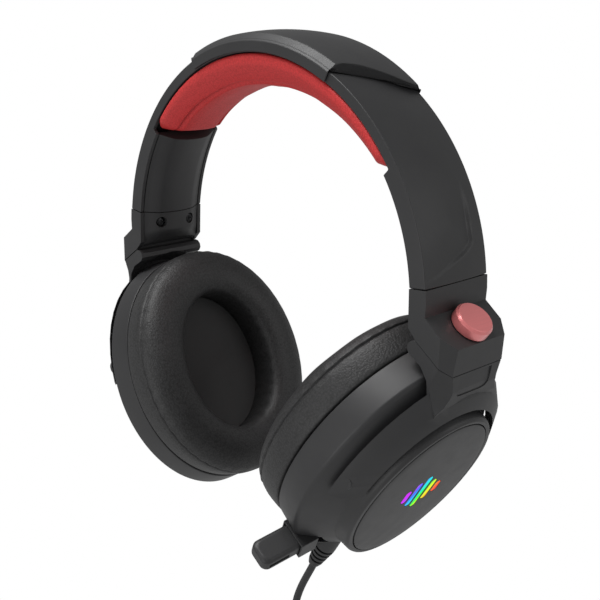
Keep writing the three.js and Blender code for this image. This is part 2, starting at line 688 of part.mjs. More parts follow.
function strainRelief() {
  const [t, y] = RELIEF_AT;
  const [inner, outer] = RELIEF_U;
  const length = inner - outer;
  const profile = [[0, 0], [4.3, 0], [4.3, 7.6], [3.9, 10], [2.8, length - 0.8], [2.4, length], [0, length]];
  return turnedBody(profile, [t, y, inner], [0, 0, -1], 16);
}

// What the left shell is cut with: the microphone port, wheel slot, button hole and cable gland.
function leftOpenings() {
  const [t, y, u] = WHEEL_AT;
  const half = WHEEL_WIDTH / 2 + 0.4;
  const [reliefT, reliefY] = RELIEF_AT;
  return [
    micBar(MIC_SIZE.map((value) => value + 2 + 2 * GAP), -16, 14),
    rod(WHEEL_R + 0.5, [t - half, y, u], [t + half, y, u], 24),
    rod(BUTTON_R + GAP, along(BUTTON_AT, buttonOut, -8), along(BUTTON_AT, buttonOut, 5), 14),
    rod(4.3 + GAP, [reliefT, reliefY, -40], [reliefT, reliefY, -62], 16),
  ];
}

function buildLeftExtras(cup) {
  add(cup, 'mic_port', micPort(), BLACK);
  add(cup, 'mic_head', micHead(), BLACK);
  add(cup, 'mic_stem', micBar(STEM_SIZE, -STEM_LENGTH - 4, -4 - GAP), RUBBER);
  add(cup, 'volume_wheel', volumeWheel(), BLACK);
  add(cup, 'mute_button', muteButton(), BLACK);
  add(cup, 'audio_board', box([33.6, 0, -17], [35, 23, 0]), BOARD);
  add(cup, 'strain_relief', strainRelief(), RUBBER);
}

// Cable, coil, tie and plug, in the frame of the whole headset.

function cable() {
  const route = new THREE.CatmullRomCurve3(CABLE_ROUTE.map((point) => new THREE.Vector3(...point)));
  const circle = steps(0, 7, 7).map((i) => [
    CABLE_R * Math.cos((i * Math.PI) / 4), CABLE_R * Math.sin((i * Math.PI) / 4),
  ]);
  return new THREE.ExtrudeGeometry(shapeOf(circle), { steps: 12, extrudePath: route });
}

function cableCoil() {
  const [x, z] = COIL_AT;
  const [inner, outer] = COIL_R;
  const width = COIL_Y[1] - COIL_Y[0];
  const round = 1.4;
  const profile = [
    [inner, round], [inner + round, 0], [outer - round, 0], [outer, round], [outer, width - round],
    [outer - round, width], [inner + round, width], [inner, width - round], [inner, round],
  ];
  return turnedBody(profile, [x, COIL_Y[0], z], [0, 1, 0], 28);
}

// A block bent round the coil's axis between two radii, two faces and two angles.
function coilSector(radii, faces, angles) {
  const section = [[radii[0], faces[0]], [radii[1], faces[0]], [radii[1], faces[1]], [radii[0], faces[1]]];
  const rings = steps(...angles, 4).map((angle) => section.map(([r, y]) => new THREE.Vector3(
    COIL_AT[0] + r * Math.cos(rad(angle)), y, COIL_AT[1] + r * Math.sin(rad(angle)),
  )));
  return skin(rings, section.map(([r, y]) => new THREE.Vector2(r, y)));
}

function cableTie() {
  const grow = (pair, extra) => [pair[0] - extra, pair[1] + extra];
  const strap = 1.2;
  return cut(coilSector(grow(COIL_R, strap + 0.6), grow(COIL_Y, strap + GAP), [125, 150]),
    [coilSector(grow(COIL_R, 0.6), grow(COIL_Y, GAP), [120, 155])]);
}

function plugBody() {
  const [x, y] = PLUG_AT;
  const neck = rod(2.8, [x, y, PLUG_TOP], [x, y, PLUG_TOP - 9], 14);
  const grip = box([x - 7.75, y - 4, PLUG_TOP - 30], [x + 7.75, y + 4, PLUG_TOP - 8]);
  return join([neck, grip]);
}

function plugShell() {
  const [x, y] = PLUG_AT;
  const top = PLUG_TOP - 30 - GAP;
  const shell = box([x - 6, y - 2.25, top - 12.5], [x + 6, y + 2.25, top]);
  const mouth = box([x - 5.6, y - 0.2, top - 13], [x + 5.6, y + 1.85, top - 3]);
  return cut(shell, [mouth]);
}

function buildCable(group) {
  add(group, 'cable', cable(), RUBBER);
  add(group, 'cable_coil', cableCoil(), RUBBER);
  add(group, 'cable_tie', cableTie(), RUBBER);
  add(group, 'usb_plug_body', plugBody(), RUBBER);
  add(group, 'usb_plug_shell', plugShell(), STEEL);
}

// The right side is the left one turned half round the vertical axis.
function buildSide(name) {
  const side = new THREE.Group();
  const frontSign = name === 'left' ? -1 : 1;
  side.rotation.z = name === 'left' ? 0 : Math.PI;
  buildArm(side, name, frontSign);
  add(side, `${name}_swivel_pin`, swivelPin(), STEEL);
  add(side, `${name}_swivel_cap`, swivelCap(), RED_METAL);
  add(side, `${name}_yoke`, yoke(name), BLACK);
  const cup = new THREE.Group();
  const lean = turnAbout([PIVOT[0], 0, PIVOT[1]], [0, 1, 0], CUP_LEAN[name]);
  cup.applyMatrix4(cupFrame(name).multiply(lean));
  side.add(cup);
  buildCup(cup, name, frontSign, name === 'left' ? leftOpenings() : []);
  if (name === 'left') {
    buildLeftExtras(cup);
    buildCable(side);
  }
  return side;
}

const headset = new THREE.Group();
headset.add(buildHeadband(), buildSide('left'), buildSide('right'));

export default headset;
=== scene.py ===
"""Looks of the gaming headset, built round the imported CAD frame."""

import json
import math

import bmesh
import bpy
from mathutils import Matrix, Vector


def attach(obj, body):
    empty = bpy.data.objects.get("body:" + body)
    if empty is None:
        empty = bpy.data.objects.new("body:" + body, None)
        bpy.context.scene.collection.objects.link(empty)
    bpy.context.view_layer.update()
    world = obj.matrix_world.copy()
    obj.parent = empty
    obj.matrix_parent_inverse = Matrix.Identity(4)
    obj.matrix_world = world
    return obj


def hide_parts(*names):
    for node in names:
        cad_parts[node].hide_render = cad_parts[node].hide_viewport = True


MM = 0.001
ARCH_Z = 52.0  # centre of the headband's arc, in millimetres
COVER_HALF = 18.2
SWIVEL_POINT = Vector((94.3, 0, 47.5))
SWIVEL_AXIS = Vector((math.sin(math.radians(35)), 0, math.cos(math.radians(35))))
JOINT_LEVEL = 84.24
FACE_LEVEL = 93.0
PIVOT = Vector((38.4, 0, 11))
CUP_LEAN = {"left": 0.0, "right": -3.5}
SIDES = ("left", "right")


# Geometry helpers. Points are in millimetres, in the frame that a piece's matrix places.


def turn_about(point, axis, degrees):
    there = Matrix.Translation(point)
    return there @ Matrix.Rotation(math.radians(degrees), 4, axis) @ there.inverted()


def side_matrix(side):
    return Matrix.Rotation(0 if side == "left" else math.pi, 4, "Z")


def stem_matrix(side):
    lean = Matrix.Rotation(math.radians(27.3), 4, "Y")
    return side_matrix(side) @ Matrix.Translation((35.7, 0, 0)) @ lean


def cup_matrix(side):
    toe = turn_about(SWIVEL_POINT, SWIVEL_AXIS, -2.5 if side == "left" else 2.5)
    frame_at = Matrix.Translation((37, 0, 1.4)) @ Matrix.Rotation(math.radians(30.1), 4, "Y")
    lean = turn_about(PIVOT, Vector((0, 1, 0)), CUP_LEAN[side])
    return side_matrix(side) @ toe @ frame_at @ lean


def lerp(a, b, share):
    return a + (b - a) * share


def smooth(value, low, high):
    x = min(1.0, max(0.0, (value - low) / (high - low)))
    return x * x * (3 - 2 * x)


def steps(low, high, count):
    return [lerp(low, high, i / count) for i in range(count + 1)]


def table_at(points, x):
    """The value at x of straight lines drawn through (x, value) points."""
    if x <= points[0][0]:
        return points[0][1]
    for (x0, v0), (x1, v1) in zip(points, points[1:]):
        if x <= x1:
            return lerp(v0, v1, (x - x0) / (x1 - x0))
    return points[-1][1]


def spline(points, per_span):
    """A smooth open curve through points of any number of dimensions."""
    ends = [points[0], *points, points[-1]]
    out = []
    for i in range(len(points) - 1):
        p0, p1, p2, p3 = ends[i : i + 4]
        for k in range(per_span):
            x = k / per_span
            out.append(tuple(
                0.5 * (2 * b + (c - a) * x + (2 * a - 5 * b + 4 * c - d) * x * x
                       + (3 * b - a - 3 * c + d) * x ** 3)
                for a, b, c, d in zip(p0, p1, p2, p3)
            ))
    out.append(tuple(points[-1]))
    return out


def fillet(points, radius, turns=4):
    """A closed list of points with every corner rounded."""
    out = []
    count = len(points)
    for i, corner in enumerate(points):
        here = Vector(corner)
        before = Vector(points[i - 1]) - here
        after = Vector(points[(i + 1) % count]) - here
        cut = min(radius, 0.45 * before.length, 0.45 * after.length)
        start = here + before.normalized() * cut
        end = here + after.normalized() * cut
        for k in range(turns + 1):
            x = k / turns
            out.append(tuple(start * (1 - x) ** 2 + here * 2 * x * (1 - x) + end * x * x))
    return out


def arc_point(r, y, degrees):
    a = math.radians(degrees)
    return (r * math.cos(a), y, ARCH_Z + r * math.sin(a))


def oval(level, count=128):
    t, a, b = level
    turns = [2 * math.pi * i / count for i in range(count)]
    return [(t, a * math.cos(x), b * math.sin(x)) for x in turns]


def mesh_object(name, points, faces, matrix=None):
    place = Matrix.Scale(MM, 4) @ (matrix or Matrix.Identity(4))
    mesh = bpy.data.meshes.new(name)
    mesh.from_pydata([tuple(place @ Vector(p)) for p in points], [], faces)
    work = bmesh.new()
    work.from_mesh(mesh)
    bmesh.ops.recalc_face_normals(work, faces=work.faces)
    work.to_mesh(mesh)
    work.free()
    obj = bpy.data.objects.new(name, mesh)
    bpy.context.scene.collection.objects.link(obj)
    return obj


def loft(name, rings, matrix=None, closed=False):
    """A body through rings of equally many points, capped at both ends unless closed."""
    size = len(rings[0])
    spans = len(rings) if closed else len(rings) - 1
    faces = []
    for ring in range(spans):
        a, b = ring * size, ((ring + 1) % len(rings)) * size
        faces += [(a + i, a + (i + 1) % size, b + (i + 1) % size, b + i) for i in range(size)]
    if not closed:
        last = (len(rings) - 1) * size
        faces += [tuple(range(size)), tuple(last + i for i in range(size))]
    return mesh_object(name, [p for ring in rings for p in ring], faces, matrix)


def lathe(name, profile, at, axis, matrix=None, count=64):
    """A turned body. The profile is [radius, height] from one end of the axis to the other."""
    turn = Vector((0, 0, 1)).rotation_difference(Vector(axis)).to_matrix()
    rings = [
        [tuple(Vector(at) + turn @ Vector((max(r, 1e-3) * math.cos(2 * math.pi * i / count),
                                           max(r, 1e-3) * math.sin(2 * math.pi * i / count), h)))
         for i in range(count)]
        for r, h in profile
    ]
    return loft(name, rings, matrix)


def block(name, low, high, matrix=None):
    x0, y0, z0 = low
    x1, y1, z1 = high
    ring = lambda z: [(x0, y0, z), (x1, y0, z), (x1, y1, z), (x0, y1, z)]
    return loft(name, [ring(z0), ring(z1)], matrix)


def add_modifier(obj, kind, **settings):
    modifier = obj.modifiers.new(kind.title(), kind)
    for key, value in settings.items():
        setattr(modifier, key, value)
    return modifier


def apply_modifiers(obj):
    graph = bpy.context.evaluated_depsgraph_get()
    mesh = bpy.data.meshes.new_from_object(obj.evaluated_get(graph))
    obj.modifiers.clear()
    obj.data = mesh


def carve(obj, cutters):
    """Takes the cutters out of obj, then removes them."""
    for cutter in cutters:
        add_modifier(obj, "BOOLEAN", operation="DIFFERENCE", object=cutter, solver="EXACT")
    apply_modifiers(obj)
    for cutter in cutters:
        bpy.data.objects.remove(cutter)


def join(objects, name):
    """One object with the meshes of all the given ones, which are removed."""
    work = bmesh.new()
    for obj in objects:
        work.from_mesh(obj.data)
    mesh = bpy.data.meshes.new(name)
    work.to_mesh(mesh)
    work.free()
    for obj in objects:
        bpy.data.objects.remove(obj)
    joined = bpy.data.objects.new(name, mesh)
    bpy.context.scene.collection.objects.link(joined)
    return joined


def soften(obj, width, angle=32, segments=3):
    """Rounds the hard edges of obj by a width in millimetres."""
    obj.data.shade_smooth()
    add_modifier(obj, "BEVEL", width=width * MM, segments=segments, limit_method="ANGLE",
                 angle_limit=math.radians(angle), harden_normals=True, miter_outer="MITER_ARC")
    add_modifier(obj, "WEIGHTED_NORMAL", keep_sharp=True)


def shade(obj, angle=35):
    obj.data.shade_smooth()
    obj.data.set_sharp_from_angle(angle=math.radians(angle))


def finish_piece(obj, body, slot, *nodes):
    obj.data.materials.clear()
    obj.data.materials.append(MATERIALS[slot])
    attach(obj, body)
    if nodes:
        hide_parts(*nodes)
    return obj


# Materials. Every one is procedural and uses object coordinates.


class Shader:
    """A principled material with short ways to add its nodes."""

    def __init__(self, name, **values):
        self.material = bpy.data.materials.new(name)
        self.material.use_nodes = True
        self.nodes = self.material.node_tree.nodes
        self.links = self.material.node_tree.links
        self.surface = self.nodes["Principled BSDF"]
        for key, value in values.items():
            self.surface.inputs[key.replace("_", " ")].default_value = value
        self.place = self.nodes.new("ShaderNodeTexCoord").outputs["Object"]

    def noise(self, scale, detail=2.0, rough=0.5, vector=None):
        node = self.nodes.new("ShaderNodeTexNoise")
        node.inputs["Scale"].default_value = scale
        node.inputs["Detail"].default_value = detail
        node.inputs["Roughness"].default_value = rough
        self.links.new(vector or self.place, node.inputs["Vector"])
        return node.outputs["Fac"]

    def cells(self, scale, vector):
        node = self.nodes.new("ShaderNodeTexVoronoi")
        node.inputs["Scale"].default_value = scale
        self.links.new(vector, node.inputs["Vector"])
        return node.outputs["Distance"]

    def stretched(self, scale):
        node = self.nodes.new("ShaderNodeMapping")
        node.inputs["Scale"].default_value = scale
        self.links.new(self.place, node.inputs["Vector"])
        return node.outputs["Vector"]

    def ramp(self, value, stops):
        node = self.nodes.new("ShaderNodeValToRGB")
        elements = node.color_ramp.elements
        while len(elements) < len(stops):
            elements.new(0.5)
        for element, (at, color) in zip(elements, stops):
            element.position = at
            element.color = (*color, 1)
        self.links.new(value, node.inputs["Fac"])
        return node.outputs["Color"]

    def math(self, operation, a, b):
        node = self.nodes.new("ShaderNodeMath")
        node.operation = operation
        for socket, value in zip(node.inputs, (a, b)):
            if isinstance(value, (int, float)):
                socket.default_value = value
            else:
                self.links.new(value, socket)
        return node.outputs["Value"]

    def span(self, value, low, high):
        node = self.nodes.new("ShaderNodeMapRange")
        node.inputs["To Min"].default_value = low
        node.inputs["To Max"].default_value = high
        self.links.new(value, node.inputs["Value"])
        return node.outputs["Result"]

    def bump(self, height, strength, depth_mm, under=None):
        node = self.nodes.new("ShaderNodeBump")
        node.inputs["Strength"].default_value = strength
        node.inputs["Distance"].default_value = depth_mm * MM
        self.links.new(height, node.inputs["Height"])
        if under:
            self.links.new(under, node.inputs["Normal"])
        return node.outputs["Normal"]

    def feed(self, socket, output):
        self.links.new(output, self.surface.inputs[socket])


def moulded(name, dark, light, rough, grain=2600, depth=0.02, sheen=0.0, specular=0.5):
    """Moulded plastic or rubber: a fine spark-eroded grain and faint unevenness."""
    s = Shader(name, Specular_IOR_Level=specular)
    broad = s.noise(45, 3)
    s.feed("Base Color", s.ramp(broad, [(0.3, dark), (0.7, light)]))
    s.feed("Roughness", s.span(s.noise(160, 2), rough - 0.05, rough + 0.05))
    s.feed("Normal", s.bump(s.noise(grain, 2, 0.6), 0.35, depth, s.bump(broad, 0.08, 0.4)))
    if sheen:
        s.surface.inputs["Sheen Weight"].default_value = sheen
    return s.material


def leather(name, dark, light, rough, size, depth, specular=0.5):
    """Leatherette: pebbled cells with fine creases between them, the creases darkened with painted shade."""
    s = Shader(name, Specular_IOR_Level=specular)
    warp = s.nodes.new("ShaderNodeVectorMath")
    warp.operation = "ADD"
    tangle = s.nodes.new("ShaderNodeTexNoise")
    tangle.inputs["Scale"].default_value = size * 0.4
    s.links.new(s.place, tangle.inputs["Vector"])
    scaled = s.nodes.new("ShaderNodeVectorMath")
    scaled.operation = "SCALE"
    scaled.inputs["Scale"].default_value = 0.7 / size
    s.links.new(tangle.outputs["Color"], scaled.inputs[0])
    s.links.new(s.place, warp.inputs[0])
    s.links.new(scaled.outputs["Vector"], warp.inputs[1])
    grain = s.cells(size, warp.outputs["Vector"])
    fine = s.noise(size * 2.4, 3, 0.6)
    # Painted shade: the base colour is darker in the creases between pebbles, where the grain sinks. It is
    # mixed with random fine tone.
    crease_shade_and_tone = s.math("ADD", s.math("MULTIPLY", grain, 0.6), s.math("MULTIPLY", fine, 0.5))
    s.feed("Base Color", s.ramp(crease_shade_and_tone, [(0.25, light), (0.75, dark)]))
    s.feed("Roughness", s.span(fine, rough - 0.1, rough + 0.12))
    under = s.bump(s.noise(90, 4, 0.55), 0.25, 0.5)
    pebbles = s.bump(s.math("SUBTRACT", 1.0, grain), 0.5, depth, under)
    s.feed("Normal", s.bump(fine, 0.5, depth * 0.6, pebbles))
    return s.material


def metal(name, color, rough, stretch, dark_share=0.75, metallic=1.0):
    """Metal, bare or under a clear lacquer, with fine lines along one direction."""
    s = Shader(name, Metallic=metallic)
    if metallic < 1:
        s.surface.inputs["Coat Weight"].default_value = 1.0
        s.surface.inputs["Coat Roughness"].default_value = 0.3
    lines = s.noise(1.0, 3, 0.6, s.stretched(stretch))
    s.feed("Base Color", s.ramp(lines, [(0.2, tuple(c * dark_share for c in color)), (0.8, color)]))
    s.feed("Roughness", s.span(lines, rough - 0.07, rough + 0.09))
    s.feed("Normal", s.bump(lines, 0.15, 0.01))
    return s.material


def woven(name, dark, light, pitch):
    """A fine open cloth, woven square."""
    s = Shader(name, Roughness=0.95, Specular_IOR_Level=0.2)
    split = s.nodes.new("ShaderNodeSeparateXYZ")
    s.links.new(s.place, split.inputs[0])
    over = s.math("SINE", s.math("MULTIPLY", split.outputs["Y"], 2 * math.pi * pitch), 0)
    under = s.math("SINE", s.math("MULTIPLY", split.outputs["Z"], 2 * math.pi * pitch), 0)
    weave = s.span(s.math("MULTIPLY", over, under), 0.0, 1.0)
    s.feed("Base Color", s.ramp(weave, [(0.3, dark), (0.9, light)]))
    s.feed("Normal", s.bump(weave, 0.6, 0.12))
    s.surface.inputs["Sheen Weight"].default_value = 0.3
    return s.material


def lit_bars(name):
    """Rainbow light behind a frosted window, turning through its hues along the cup."""
    s = Shader(name, Roughness=0.5, Specular_IOR_Level=0.1)
    split = s.nodes.new("ShaderNodeSeparateXYZ")
    s.links.new(s.place, split.inputs[0])
    across = s.math("MULTIPLY", split.outputs["Y"], 46.0)
    up = s.math("MULTIPLY", s.math("ADD", split.outputs["Z"], 0.021), -14.0)
    where = s.math("ADD", s.math("ADD", across, up), 0.5)
    hues = [(0.08, (0.7, 0.0, 1.0)), (0.26, (0.02, 0.12, 1.0)), (0.38, (0.0, 0.75, 1.0)),
            (0.52, (0.0, 1.0, 0.03)), (0.66, (0.9, 1.0, 0.0)), (0.8, (1.0, 0.2, 0.0)),
            (0.92, (1.0, 0.0, 0.03))]
    color = s.ramp(where, hues)
    s.surface.inputs["Base Color"].default_value = (0.01, 0.01, 0.01, 1)
    s.feed("Emission Color", color)
    s.feed("Emission Strength", s.span(s.noise(700, 2), 0.9, 1.1))
    return s.material


MATERIALS = {
    "black_plastic": moulded("black_plastic", (0.019, 0.019, 0.02), (0.024, 0.024, 0.025), 0.5),
    "inner_plastic": moulded("inner_plastic", (0.014, 0.014, 0.014), (0.02, 0.02, 0.02), 0.7),
    "leatherette": leather("leatherette", (0.008, 0.008, 0.008), (0.028, 0.028, 0.029), 0.53, 1250, 0.2),
    "red_pad": leather("red_pad", (0.46, 0.018, 0.018), (0.66, 0.036, 0.038), 0.6, 1500, 0.05),
    "red_metal": metal("red_metal", (0.82, 0.22, 0.22), 0.34, (1800, 90, 1800), 0.9, 0.45),
    "steel": metal("steel", (0.6, 0.61, 0.62), 0.3, (120, 1500, 1500)),
    "screw_steel": metal("screw_steel", (0.04, 0.04, 0.042), 0.36, (600, 600, 600)),
    "cloth": woven("cloth", (0.045, 0.045, 0.045), (0.085, 0.085, 0.086), 1400),
    "board": moulded("board", (0.008, 0.05, 0.02), (0.015, 0.09, 0.04), 0.5, 900),
    "light": lit_bars("light"),
    "cable_rubber": moulded("cable_rubber", (0.014, 0.014, 0.015), (0.022, 0.022, 0.023), 0.55, 1800),
}


# Headband.

BAND_R = 89.2  # outer radius of the headband shell
SEAM_ANGLE = 6.65  # where the headband ends and an arm begins
LINER_END = 34.6
PAD_START = 35.6
PAD_BACK = 84.0  # radius of the pad's back
CREASE_Y = 10.4
# The sharp upper edge of the scoop: degrees along the arc, then y.
SCOOP = [(30.9, 10.9), (23.8, 11.0), (16.8, 10.1), (14.5, 10.0), (12.7, 5.7), (11.5, 0.5),
         (10.3, -4.2), (9.7, -7.4)]
SCOOP_LINE = [Vector((math.radians(a) * BAND_R, y)) for a, y in SCOOP]


def scoop_depth(degrees, y):
    """How deep the shallow scoop in the side of the headband is, in millimetres."""
    here = Vector((math.radians(min(degrees, 180 - degrees)) * BAND_R, y))
    if here.x > 62 or here.x < 11:
        return 0.0
    best, sign, at = 1e9, 1, None
    for a, b in zip(SCOOP_LINE, SCOOP_LINE[1:]):
        span = b - a
        share = min(1.0, max(0.0, (here - a).dot(span) / span.length_squared))
        gap = here - (a + span * share)
        if gap.length < best:
            best, at = gap.length, a + span * share
            sign = 1 if span.x * gap.y - span.y * gap.x > 0 else -1
    inside = sign * best
    along = (at - SCOOP_LINE[3]).length
    return 0.95 * smooth(inside, -0.1, 0.9) * (1 - smooth(inside, 1, 13)) * (1 - smooth(along, 7, 25))


def band_section(degrees):
    share = smooth(min(degrees, 180 - degrees), 34.8, 35.2)
    edge = lerp(81.3, 84.3, share)
    outer = []
    for y in steps(-17.2, 17.2, 52):
        outer.append((88.5 + 0.8 * (1 - (y / 17.2) ** 2) - scoop_depth(degrees, y), y))
    return [(edge, -17.2), *outer, (edge, 17.2), (edge, 15.4), (86.7, 15.4), (86.7, -15.4), (edge, -15.4)]


def build_band_shell():
    near, crown, far = steps(7, 34.8, 70), steps(35.2, 144.8, 130), steps(145.2, 173, 70)
    angles = [SEAM_ANGLE, *near, *crown, *far, 180 - SEAM_ANGLE]
    shell = loft("band_shell", [[arc_point(r, y, a) for r, y in band_section(a)] for a in angles])
    soften(shell, 0.5, 50)
    finish_piece(shell, "headband", "black_plastic", "headband_shell")


# Where the crown cover ends: y, then degrees along the arc.
COVER_END = [(-18.2, 63.5), (-11.8, 63.7), (-7.3, 62.6), (-4.3, 61.5), (3.2, 58.2), (8.5, 56), (12, 55),
             (18.2, 54)]


def build_crown_cover():
    top = [(91.5 + 1.1 * (1 - (y / 15.2) ** 2), y) for y in steps(-15.2, 15.2, 40)]
    section = [(84.6, -COVER_HALF), (88.5, -COVER_HALF), *top, (88.5, COVER_HALF), (84.6, COVER_HALF),
               (84.6, 17.5), *[(89.5, y) for y in steps(17.5, -17.5, 40)], (84.6, -17.5)]
    rings = []
    for share in steps(0, 1, 100):
        ring = []
        for r, y in section:
            end = table_at(COVER_END, y)
            ring.append(arc_point(r, y, end + (180 - 2 * end) * share))
        rings.append(ring)
    cover = loft("crown_shell", rings)
    soften(cover, 0.45, 24)
    finish_piece(cover, "headband", "black_plastic", "crown_cover")


# The pad's thickness along the arc, and half of its section where it is 12 mm thick.
PAD_DEPTH = [(35.8, 7.6), (40.6, 8.1), (52, 9.5), (64, 10.8), (90, 12)]
PAD_SECTION = [(84.0, 15.2), (83.6, 16.5), (82.3, 16.9), (79.4, 16.4), (75.9, 14.2), (73.5, 12.1),
               (72.1, 10), (71.3, 7), (70.9, 4), (70.8, 0)]


def pad_ring(degrees):
    """The pad's section at an angle along the arc, thinned and narrowed towards its ends."""
    inset = min(degrees, 180 - degrees) - PAD_START
    round_off = math.sqrt(min(1.0, max(0.0, inset + 0.05) / 4.2))
    depth = table_at(PAD_DEPTH, min(degrees, 180 - degrees)) / 12 * round_off
    half = spline(PAD_SECTION, 12)
    points = [(r, -y) for r, y in half] + [(r, y) for r, y in half[-2::-1]]
    ring = []
    for r, y in points:
        from_crease = abs(y) - CREASE_Y
        crease = math.exp(-(from_crease / 0.8) ** 2) * (2.2 if r < 76 else 0)
        pucker = 0.1 * math.sin(degrees * 7.3 + y) * math.exp(-(from_crease / 2.5) ** 2) * (r < 77)
        thick = (PAD_BACK - r - crease - pucker) * depth
        ring.append(arc_point(PAD_BACK - thick, y * lerp(0.72, 1, round_off), degrees))
    return ring


def build_head_pad():
    fine = [PAD_START + 4.4 * (k / 14) ** 2 for k in range(15)]
    angles = [*fine, *steps(41, 139, 110), *[180 - a for a in reversed(fine)]]
    pad = loft("head_cushion", [pad_ring(a) for a in angles])
    shade(pad, 60)
    finish_piece(pad, "headband", "red_pad", "headband_pad")


# The liner's inner face: y, then radius.
BULGE = [(-15.1, 81.3), (-13.6, 80.4), (-12, 79.3), (-10, 78.1), (-8, 77.3), (-4, 76.6), (0, 76.4),
         (4, 76.6), (8, 77.3), (10, 78.1), (12, 79.3), (13.6, 80.4), (15.1, 81.3)]


def bulge_section(fade):
    inner = [(lerp(81.3, r, fade) + (1 - fade) * 1.6, y) for y, r in spline(BULGE, 4)]
    return inner + [(r + 1.8, y) for r, y in reversed(inner)]


def build_liners():
    """The bulged inner faces of the band, filled up to the shell where they meet the pad."""
    for side in SIDES:
        rings = []
        for a in steps(SEAM_ANGLE, LINER_END, 44):
            section = bulge_section(1)
            half = len(section) // 2
            inner, outer = section[:half], section[half:]
            outer = [(max(r, lerp(r, 83, smooth(a, 31, 32.5))), y) for r, y in outer]
            rings.append([arc_point(r, y, a) for r, y in inner + outer])
        liner = loft(f"{side}_liner", rings, side_matrix(side))
        soften(liner, 0.35, 50)
        finish_piece(liner, "headband", "black_plastic", f"{side}_band_liner")


# Arms.


def inner_cover_point(r_index, share):
    """A point of the arm's inner cover, between the seam and the slanted swivel joint."""

    def at(degrees):
        r, y = bulge_section(smooth(degrees, -6.5, 0.5))[r_index]
        return arc_point(r, y, degrees)

    low, high = -16.0, 6.45
    for _ in range(30):
        middle = (low + high) / 2
        if Vector(at(middle)).dot(SWIVEL_AXIS) < JOINT_LEVEL + 0.35:
            low = middle
        else:
            high = middle
    return at(lerp(6.45, high, share))


SCREW_Z = 56.2
SCREW = [(0, 7.95), (1.2, 7.85), (1.8, 8.1), (1.95, 8.4), (1.95, 8.8), (0.95, 8.9), (0.95, 15), (0, 15)]


def build_arms():
    count = len(bulge_section(1))
    for side in SIDES:
        place = side_matrix(side)
        rings = [[inner_cover_point(i, share) for i in range(count)] for share in steps(0, 1, 30)]
        cover = loft(f"{side}_inner_shell", rings, place)
        bores = [lathe("bore", [(2.5, 0), (2.5, 8.9)], (70, y, SCREW_Z), (1, 0, 0), place) for y in (-8, 8)]
        carve(cover, bores)
        soften(cover, 0.3, 50)
        finish_piece(cover, f"{side}_arm", "black_plastic", f"{side}_arm_inner_cover")
        for y, where in ((-8, "front"), (8, "rear")):
            name = where if side == "left" else {"front": "rear", "rear": "front"}[where]
            screw = lathe(f"{side}_screw_{name}", SCREW, (70, y, SCREW_Z), (1, 0, 0), place, 32)
            slots = [block("slot", (76, y - 1.1, 55.95), (78.4, y + 1.1, 56.45), place),
                     block("slot", (76, y - 0.25, 55.1), (78.4, y + 0.25, 57.3), place)]
            carve(screw, slots)
            shade(screw, 30)
            finish_piece(screw, f"{side}_arm", "screw_steel", f"{side}_arm_screw_{name}")


def build_swivel_caps():
    profile = [(0, 0), (7.0, 0), (7.2, 0.1), (7.3, 0.35), (7.3, 3.5), (7.25, 3.6), (6.6, 4.44), (6.5, 4.5),
               (3, 4.54), (0, 4.56)]
    for side in SIDES:
        at = SWIVEL_POINT + SWIVEL_AXIS * (FACE_LEVEL + 0.3 - SWIVEL_POINT.dot(SWIVEL_AXIS))
        cap = lathe(f"{side}_knob", profile, at, SWIVEL_AXIS, side_matrix(side), 96)
        shade(cap, 14)
        finish_piece(cap, f"{side}_yoke", "red_metal", f"{side}_swivel_cap")


# Cups.

# Section of a cup's shell, all the way round: outward position, half width and half height.
SHELL = [(18.5, 43.7, 52.6), (30.2, 44.2, 54.2), (31.4, 43.5, 53.3), (38.8, 35.1, 42.2), (40.6, 32.5, 40.3),
         (45.9, 31.4, 39.7), (47, 30.6, 38.9), (47, 28.6, 37.5), (45, 28.6, 37.5), (45, 26.6, 35),
         (43, 26.6, 35), (41.2, 30.4, 38.2), (37.7, 33.2, 41), (29.8, 42.2, 52.2), (18.5, 41.7, 50.5)]
MIC_ROOT = (30.1, -32.5, -37.6)
MIC_TURN = math.pi + math.radians(15)
WHEEL_AT = (23.2, 29.6, -31)
RELIEF_AT = (33.9, -14.3)


def mic_matrix():
    return cup_matrix("left") @ Matrix.Translation(MIC_ROOT) @ Matrix.Rotation(MIC_TURN, 4, "X")


def left_cutters():
    place = cup_matrix("left")
    mic = mic_matrix()
    lean = math.radians(58.5)
    button = (0, math.cos(lean), -math.sin(lean))
    start = Vector((23.5, 21.4, -47.4)) - 8 * Vector(button)
    return [
        block("cut", (-6.8, -16, -4.8), (6.8, 14, 4.8), mic),
        lathe("cut", [(9.5, -2.1), (9.5, 2.1)], WHEEL_AT, (1, 0, 0), place),
        lathe("cut", [(2.9, 0), (2.9, 13)], start, button, place),
        lathe("cut", [(4.6, 0), (4.6, 25)], (*RELIEF_AT, -37.3), (0, 0, -1), place),
    ]


def build_cup_shell(side):
    place = cup_matrix(side)
    shell = loft(f"{side}_bowl", [oval(level, 160) for level in fillet(SHELL, 0.55)], place, closed=True)
    if side == "left":
        carve(shell, left_cutters())
    shade(shell, 32)
    finish_piece(shell, f"{side}_cup", "black_plastic", f"{side}_cup_shell")


BAR_R = 1.3  # rounding of the lit bars' ends
# The lit bars: y and half height of each.
BARS = [(-8.2, 3.6), (-4.1, 7), (0, 9.2), (4.1, 6), (8.2, 3.2)]


def bar_outline(y, half, grow):
    width = BAR_R + grow
    straight = half - BAR_R
    top = [(y + width * math.cos(a), straight + width * math.sin(a)) for a in steps(0, math.pi, 8)]
    low = [(y + width * math.cos(a), width * math.sin(a) - straight) for a in steps(math.pi, 2 * math.pi, 8)]
    return top + low


def bar_body(name, bar, grow, low, high, place):
    outline = bar_outline(*bar, grow)
    return loft(name, [[(t, y, z) for y, z in outline] for t in (low, high)], place)


